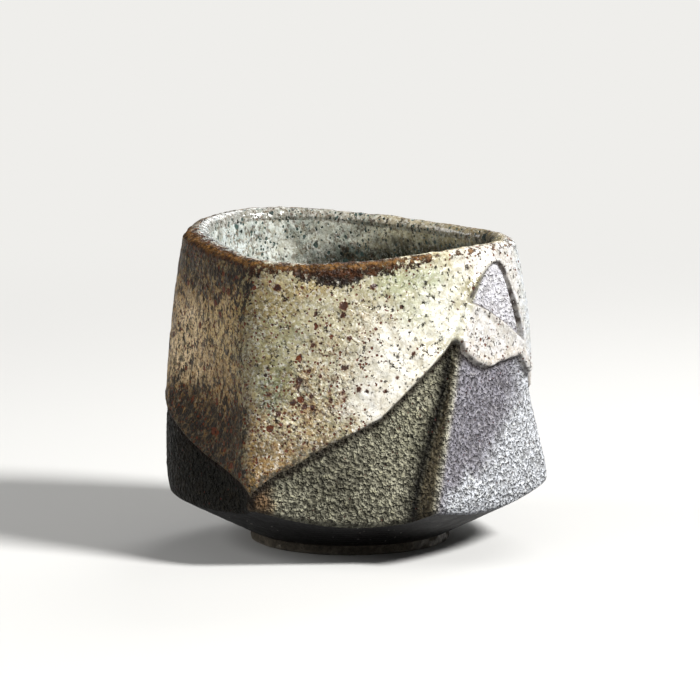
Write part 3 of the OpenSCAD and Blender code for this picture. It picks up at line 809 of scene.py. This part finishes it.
def add(kind, links=(), out=0, **settings):
    """One node with its settings. The links give its inputs, in order or by name, a value or
    another node's output each, and the output asked for comes back."""
    tree = MADE[-1].node_tree
    node = tree.nodes.new("ShaderNode" + kind)
    for key, got in settings.items():
        setattr(node, key, got)
    for key, got in links.items() if isinstance(links, dict) else enumerate(links):
        if isinstance(got, bpy.types.NodeSocket):
            tree.links.new(got, node.inputs[key])
        else:
            node.inputs[key].default_value = got
    return node.outputs[out] if len(node.outputs) else node


def empty(name):
    """A new material without any nodes."""
    material = bpy.data.materials.new(name)
    material.use_nodes = True
    material.node_tree.nodes.clear()
    MADE.append(material)
    return material


def started(name, stretch=1.0):
    """A new material, the place on the piece in millimetres and the piece's own colour."""
    material = empty(name)
    place = add("VectorMath", (add("TexCoord", out="Object"),
                               (1000, 1000, 1000 * stretch)), **TIMES)
    return material, place, add("Attribute", out="Color", attribute_name="tint")


def blotches(place, size, low, high, detail=4.0, rough=0.6, least=0.0, most=1.0):
    """Soft-edged cloudy patches of about that size in millimetres: least below low, most above
    high."""
    noise = add("TexNoise", {"Vector": place, "Scale": 1 / size, "Detail": detail,
                             "Roughness": rough})
    return add("MapRange", (noise, low, high, least, most), **SOFT)


def stained(colour, masks, strength, stain, **how):
    """The colour with a stain laid over it, where all of the masks show it."""
    much = strength
    for mask in masks if isinstance(masks, tuple) else (masks,):
        much = add("Math", (mask, much), **TIMES)
    return add("Mix", {"Factor": much, 6: colour,
                       7: rgba(stain) if isinstance(stain, str) else stain},
               out=2, **(how or COLOURS))


def ragged(place, size, reach):
    """The same place, pushed about by noise, so that round shapes come out uneven."""
    noise = add("TexNoise", {"Vector": place, "Scale": 1 / size, "Detail": 2.0}, out="Color")
    return add("VectorMath", (noise, (reach, reach, reach), place), operation="MULTIPLY_ADD")


def specks(place, cell, amount, radius):
    """Uneven spots, at most one per cell of that size in millimetres, and a random value each."""
    found = add("TexVoronoi", {"Vector": place, "Scale": 1 / cell})
    luck = add("SeparateColor", {"Color": found.node.outputs["Color"]}).node.outputs
    there = add("Math", (amount, luck[0]), operation="GREATER_THAN")
    size = add("MapRange", (luck[2], 0, 1, 0.4 * radius / cell, radius / cell))
    gap = add("Math", (size, found), operation="SUBTRACT")
    spot = add("MapRange", (gap, -0.04 / cell, 0.06 / cell), **SOFT)
    return add("Math", (spot, there), **TIMES), luck[1]


def relief(*layers):
    """Bumps laid one over another, each a height and its depth in millimetres."""
    normal = None
    for height, depth in layers:
        links = {"Height": height, "Distance": depth * 0.001, "Strength": 1.0}
        if normal is not None:
            links["Normal"] = normal
        normal = add("Bump", links)
    return normal


def glaze_material(name, iron, dark, stain, frost, rough=0.2, coat=0.0, crust=0.6, stretch=1.0):
    """Wood-ash glaze over iron-bearing clay, poured and fired: a milky, glassy coat with iron
    burnt through it in brown and rusty dots, faint crazing and a slightly uneven shine."""
    material, place, colour = started(name, stretch)
    amount, rust, soot, pour, roll, blot = (
        add("Attribute", out="Fac", attribute_name=key)
        for key in ("speck", "rust", "soot", "pour", "roll", "blot"))
    busy = add("MapRange", (amount, 0.25, 1.0, 0.15, 1.0), **SOFT)
    veined = add("MapRange", (amount, 0.1, 0.7, 0.10, 1.0), **SOFT)
    clean = add("MapRange", (soot, 0, 1, frost, 0.1))
    # thin and thick places, brown mottling half a millimetre wide, milky flecks where it is
    # clean, then golden stains and dark scorch where the iron is thick
    for cloud, where, strength, tone, how in (
            ((1.8, 0.60, 0.40, 5.0, 0.65), (), 0.40, "#b3aa8c", DARKEN),
            ((0.50, 0.49, 0.63, 4.0, 0.7), (veined,), 0.80, "#8f7750", DARKEN),
            ((0.60, 0.50, 0.62), (clean,), 1.0, "#f4f3ea", COLOURS),
            ((1.6, 0.50, 0.60), (busy,), 0.45, stain, COLOURS),
            ((0.75, 0.54, 0.60, 3.0), (busy,), 0.70, "#4a2e18", COLOURS)):
        masks = (blotches(place, *cloud), *where)
        colour = stained(colour, masks, strength, tone, **how)
    # runs down the scorched left face, pulled out along the height, and smut between them; on the
    # lining the same marks are painted shadow
    run = add("VectorMath", (place, (1, 1, 0.55)), **TIMES)
    gusts = blotches(place, 4.0, 0.35, 0.65, 4.0, 0.7, 0.75, 1.25)
    drip = add("TexNoise", {"Vector": run, "Scale": 1.0, "Detail": 4.0, "Roughness": 0.7})
    drip = add("Math", (soot, 0.10, drip), operation="MULTIPLY_ADD")
    streak = add("MapRange", (drip, 0.60, 0.63), **SOFT)
    for much in (soot, gusts):
        streak = add("Math", (streak, much), use_clamp=True, **TIMES)
    colour = stained(colour, streak, 0.97, "#1a1309")
    smut = blotches(place, 1.7, 0.60, 0.68, 5.0, 0.7)
    colour = stained(colour, (smut, soot), 0.70, "#26200f")
    # crazing, a net about two millimetres wide
    web = add("TexVoronoi", {"Vector": ragged(place, 4.4, 2.2), "Scale": 1 / 2.2},
              feature="DISTANCE_TO_EDGE")
    crazing = add("MapRange", (web, 0.0, 0.05, 1.0, 0.0), **SOFT)
    colour = stained(colour, crazing, 0.30, "#8a7552")
    # melted iron: dots a fifth of a millimetre across, up to blots of a millimetre and a half
    crowd = blotches(place, 3.5, 0.40, 0.60, 3.0, 0.6, 0.30, 1.6)
    crowd = add("Math", (amount, crowd), **TIMES)
    uneven, pits = ragged(place, 0.40, 0.32), 0.0
    for cell, radius, chance in ((0.72, 0.25, 2.00), (1.10, 0.34, 1.40), (2.6, 0.75, 0.50)):
        often = add("Math", (crowd, chance), **TIMES)
        spot, luck = specks(uneven, cell, often, radius)
        hue = add("MapRange", (luck, 0.0, 0.4), **SOFT)
        shade = add("Mix", {"Factor": hue, 6: rgba(dark), 7: rgba(iron)}, out=2, **COLOURS)
        colour = stained(colour, spot, 0.97, shade)
        pits = add("Math", (pits, spot), operation="MAXIMUM")
    # the single spots placed on the front, with darker hearts
    wavy = add("TexNoise", {"Vector": place, "Scale": 1 / 0.45, "Detail": 3.0})
    wavy = add("Math", (wavy, 0.85, blot), operation="MULTIPLY_ADD")
    for low, high, strength, tone in ((1.20, 1.50, 0.95, iron), (1.34, 1.60, 0.90, dark)):
        spot = add("MapRange", (wavy, low, high), **SOFT)
        colour = stained(colour, spot, strength, tone)
    # the lip, where the glaze drew thin and the iron shows rusty brown
    ember = add("Attribute", out="Color", attribute_name="tint_rust")
    burnt = blotches(place, 1.1, 0.58, 0.44, 6.0, 0.75)
    ember = stained(ember, burnt, 0.85, "#5a4630", **DARKEN)
    torn = blotches(place, 1.0, 0.3, 0.7, 5.0, 0.75, -0.68, 0.75)
    torn = add("Math", (rust, torn), operation="ADD")
    bare = add("MapRange", (torn, 0.35, 0.75), **SOFT)
    colour = stained(colour, bare, 0.97, ember)
    # a broken dark line along a rolled edge, partly iron gathered there and partly painted shade
    # under the roll, a thin one where it is flatter, and a frayed edge where the pour ran out thin
    broken = blotches(place, 2.4, 0.35, 0.62, least=0.4)
    wisps = blotches(place, 0.9, 0.35, 0.65, 5.0, 0.7, -1.6, 1.2)
    wisps = add("Math", (pour, wisps), operation="ADD")
    line, seam, frayed, thin = (
        add("MapRange", (got, low, high, 1.0, 0.0), **SOFT)
        for got, low, high in ((pour, 0.15, 0.70), (pour, 0.0, 0.75), (wisps, 0.1, 1.0),
                               (roll, 0.35, 0.7)))
    flat = add("MapRange", (roll, 0.5, 1.0, 1.0, 0.0))
    for masks, strength, tone in (
            ((line, broken, roll), 0.92, "#2c2019"), ((seam, flat), 0.80, "#3c342a"),
            ((frayed, thin), 0.85, "#4b4536")):
        colour = stained(colour, masks, strength, tone)
    # shine and relief: bared iron and soot are duller, and iron stands up in beads
    dull = add("Math", (bare, soot), operation="MAXIMUM", use_clamp=True)
    shine = blotches(place, 3.2, 0.3, 0.7, least=rough, most=rough + 0.16)
    shine = add("Math", (dull, 0.12, shine), operation="MULTIPLY_ADD")
    swell = add("TexNoise", {"Vector": place, "Scale": 1 / 3.0, "Detail": 1.0})
    bead = add("TexNoise", {"Vector": place, "Scale": 1 / 0.8, "Detail": 2.0, "Roughness": 0.5})
    stand = add("Math", (busy, bare), operation="MAXIMUM")
    stand = add("Math", (bead, stand), **TIMES)
    normal = relief((swell, 0.6), (bead, 0.10 * crust), (stand, 0.40 * crust),
                    (pits, -0.10), (crazing, -0.010))
    shader = add("BsdfPrincipled", {
        "Base Color": colour, "Roughness": shine, "Normal": normal, "IOR": 1.5,
        "Specular IOR Level": add("MapRange", (dull, 0, 1, 0.5, 0.14)),
        "Coat Weight": coat, "Coat Roughness": 0.08})
    add("OutputMaterial", {"Surface": shader})
    return material


def clay_material(name):
    """Bare sandy stoneware, cut with a wire and fired: rough and matt, with rounded sand grains
    standing up from the body, a painted shade in the hollows between them and a painted highlight
    on their tops."""
    material, place, colour = started(name)
    sand, crumb = (add("TexNoise", {"Vector": place, "Scale": 1 / size, "Detail": detail,
                                    "Roughness": 0.5})
                   for size, detail in ((0.72, 1.2), (0.32, 1.0)))
    coarse = add("Attribute", out="Fac", attribute_name="grain")
    # painted shade in the hollows between the sand grains
    hollow_shade = add("MapRange", (sand, 0.55, 0.40), **SOFT)
    colour = stained(colour, (hollow_shade, coarse), 0.60, "#4c473d", **DARKEN)
    cloud = blotches(place, 1.8, 0.62, 0.38, 4.0, 0.7)
    colour = stained(colour, cloud, 0.35, "#8a8474", **DARKEN)
    # painted highlight on the tops of the sand grains
    proud = add("MapRange", (sand, 0.56, 0.72), **SOFT)
    colour = stained(colour, proud, 0.50, "#e6e6da", **LIFT)
    # single grains of pale feldspar, dark iron and rusty red, near half a millimetre
    glint, _ = specks(place, 0.80, 0.30, 0.22)
    colour = stained(colour, glint, 0.90, "#dfe0d6", **LIFT)
    pit, luck = specks(ragged(place, 0.5, 0.3), 0.70, 0.42, 0.22)
    rusty = add("MapRange", (luck, 0.6, 0.7), **SOFT)
    iron = add("Mix", {"Factor": rusty, 6: rgba("#17120d"), 7: rgba("#54231b")}, out=2, **COLOURS)
    colour = stained(colour, pit, 0.75, iron)
    # the body is burnt darker right under the edge of the glaze, and a painted shadow under that
    # edge darkens it further
    pour = add("Attribute", out="Fac", attribute_name="pour")
    edge_burn_and_shadow = add("MapRange", (pour, -2.0, -0.4), **SOFT)
    colour = stained(colour, edge_burn_and_shadow, 0.85, "#1c130d")
    shine = blotches(place, 1.2, 0.3, 0.7, least=0.42, most=0.66)
    stand = add("Math", (sand, coarse), **TIMES)
    shader = add("BsdfPrincipled", {
        "Base Color": colour, "Roughness": shine, "IOR": 1.45, "Specular IOR Level": 0.12,
        "Normal": relief((stand, 2.2), (crumb, 0.30), (pit, -0.15))})
    add("OutputMaterial", {"Surface": shader})
    return material


def slate_material(name):
    """Underside smoothed on the wheel with a wet sponge: dense dark clay with a dull sheen,
    turning lines and small white grains of feldspar."""
    material, place, colour = started(name)
    mottle = add("TexNoise", {"Vector": place, "Scale": 1 / 2.2, "Detail": 5.0, "Roughness": 0.6})
    low = add("MapRange", (mottle, 0.7, 0.3), **SOFT)
    colour = stained(colour, low, 0.6, "#6f6a64", **DARKEN)
    for cell, amount, radius in ((1.1, 0.22, 0.2), (2.4, 0.22, 0.32)):
        spot, luck = specks(place, cell, amount, radius)
        pale = add("Mix", {"Factor": luck, 6: rgba("#8c857b"), 7: rgba("#e4e0d6")}, out=2,
                   **COLOURS)
        colour = stained(colour, spot, 0.8, pale)
    shine = add("MapRange", (mottle, 0.3, 0.7, 0.42, 0.62))
    crumb = add("TexNoise", {"Vector": place, "Scale": 1 / 0.4, "Detail": 3.0})
    shader = add("BsdfPrincipled", {
        "Base Color": colour, "Roughness": shine, "IOR": 1.5, "Specular IOR Level": 0.18,
        "Normal": relief((mottle, 0.25), (crumb, 0.10))})
    add("OutputMaterial", {"Surface": shader})
    return material


def foot_material(name):
    """Turned foot, wiped clean of glaze: bare dark clay, chipped and rubbed pale on its corners."""
    material, place, colour = started(name)
    mottle = add("TexNoise", {"Vector": place, "Scale": 1 / 0.8, "Detail": 5.0, "Roughness": 0.7})
    low = add("MapRange", (mottle, 0.7, 0.3), **SOFT)
    colour = stained(colour, low, 0.7, "#6a6158", **DARKEN)
    rubbed = add("NewGeometry", out="Pointiness")
    rubbed = add("MapRange", (rubbed, 0.51, 0.56), **SOFT)
    colour = stained(colour, rubbed, 0.5, "#a39a8a")
    spot, _ = specks(place, 0.9, 0.4, 0.24)
    colour = stained(colour, spot, 0.6, "#b8b0a2")
    shine = add("MapRange", (mottle, 0.3, 0.7, 0.7, 0.95))
    crumb = add("TexNoise", {"Vector": place, "Scale": 1 / 0.35, "Detail": 3.0})
    shader = add("BsdfPrincipled", {
        "Base Color": colour, "Roughness": shine, "IOR": 1.45,
        "Normal": relief((mottle, 0.5), (crumb, 0.2))})
    add("OutputMaterial", {"Surface": shader})
    return material


# ---- pieces
grit = clay_material("sandy stoneware, wire cut and fired")
slate = slate_material("dark clay, sponged smooth on the wheel")
ash = glaze_material("wood ash glaze, poured", "#5e2a0c", "#321606", "#9a7034", 0.42,
                     rough=0.24, crust=1.0)
milky = glaze_material("milky ash glaze, pooled and glassy", "#3f504b", "#121c1a", "#8a968c",
                       0.36, rough=0.1, coat=0.4, crust=0.6, stretch=0.75)
wear_and_highlight = glaze_material("ash glaze worn thin, iron breaking through", "#7a4018", "#24130a",
                      "#9a7034", 0.25, rough=0.25, crust=1.3)
turned = foot_material("bare foot clay, turned and rubbed")

pieces = [
    (clay_piece([grit, slate]), "clay_body", "clay"),
    (foot_piece(turned), "foot_ring", "foot_clay"),
    (pour_piece("outer_glaze_pour", 0.0, 7.0, 560, 112, ash), "outer_glaze", "outer_glaze"),
    (pour_piece("side_glaze_pour", 7.0, 9.0, 230, 130, ash), "side_glaze", "side_glaze"),
    (inner_piece(milky), "inner_glaze", "inner_glaze"),
    (lip_piece([wear_and_highlight, milky]), "rim_wash", "rim_wash")]
for piece, node, slot in pieces:
    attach(piece, "root")
    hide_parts(node)


# ---- floor, light and camera
def floor_material():
    """Seamless paper: plain, pale and matt to the eye, throwing little light back at the cup."""
    material = empty("seamless paper")
    path = add("LightPath").node.outputs
    seen = path["Is Camera Ray"]
    for ray in ("Is Glossy Ray", "Is Transmission Ray"):
        seen = add("Math", (seen, path[ray]), operation="MAXIMUM")
    tone = add("Mix", {"Factor": seen, 6: rgba("#5f6064"), 7: rgba("#d3d2cf")}, out=2, **COLOURS)
    paper = add("BsdfPrincipled", {"Base Color": tone, "Roughness": 0.9})
    # beyond the cup's shadow the paper shows its plain pale colour, where the lamps fall off
    away = add("TexCoord", out="Object")
    away = add("VectorMath", (away,), out="Value", operation="LENGTH")
    far = add("MapRange", (away, 0.12, 0.42), **SOFT)
    far = add("Math", (far, seen), **TIMES)
    plain = add("Emission", {"Color": rgba("#efeeeb"), "Strength": 1.0})
    both = add("MixShader", (far, paper, plain))
    add("OutputMaterial", {"Surface": both})
    return material


def sheet(name, size, material):
    """A square of floor round the cup, at height zero."""
    mesh = bpy.data.meshes.new(name)
    mesh.from_pydata([(x * size / 2, y * size / 2, 0)
                      for x, y in ((-1, -1), (1, -1), (1, 1), (-1, 1))], [], [(0, 1, 2, 3)])
    mesh.materials.append(material)
    placed(name, mesh)


def lamp(name, place, size, watts):
    """A round softbox, turned to the middle of the cup."""
    data = bpy.data.lights.new(name, "AREA")
    data.shape, data.size, data.energy = "DISK", size, watts
    piece = placed(name, data)
    piece.location = place
    piece.rotation_euler = (MIDDLE - Vector(place)).to_track_quat("-Z", "Y").to_euler()


# metres and watts
MIDDLE = Vector((0, 0, 0.03))
sheet("paper_floor", 6.0, floor_material())
lamp("softbox_right", (0.66, -0.36, 0.68), 0.24, 17.6)
lamp("softbox_left", (-0.85, -0.15, 0.50), 0.6, 4.8)
lamp("fill_back", (0.30, 0.80, 0.60), 0.6, 3.6)
world = bpy.data.worlds.new("studio air")
bpy.context.scene.world = world
world.use_nodes = True
world.node_tree.nodes["Background"].inputs["Color"].default_value = rgba("#eef0f2")
world.node_tree.nodes["Background"].inputs["Strength"].default_value = 0.13

camera = placed("camera", bpy.data.cameras.new("camera"))
camera.data.sensor_width, camera.data.angle = 36.0, radians(9.06)
camera.location = (-0.00128, -0.800, 0.160)
camera.rotation_euler = (radians(90 - 8.9), 0, 0)
camera.data.clip_start = 0.05
bpy.context.scene.camera = camera
bpy.context.scene.view_settings.view_transform = "Standard"
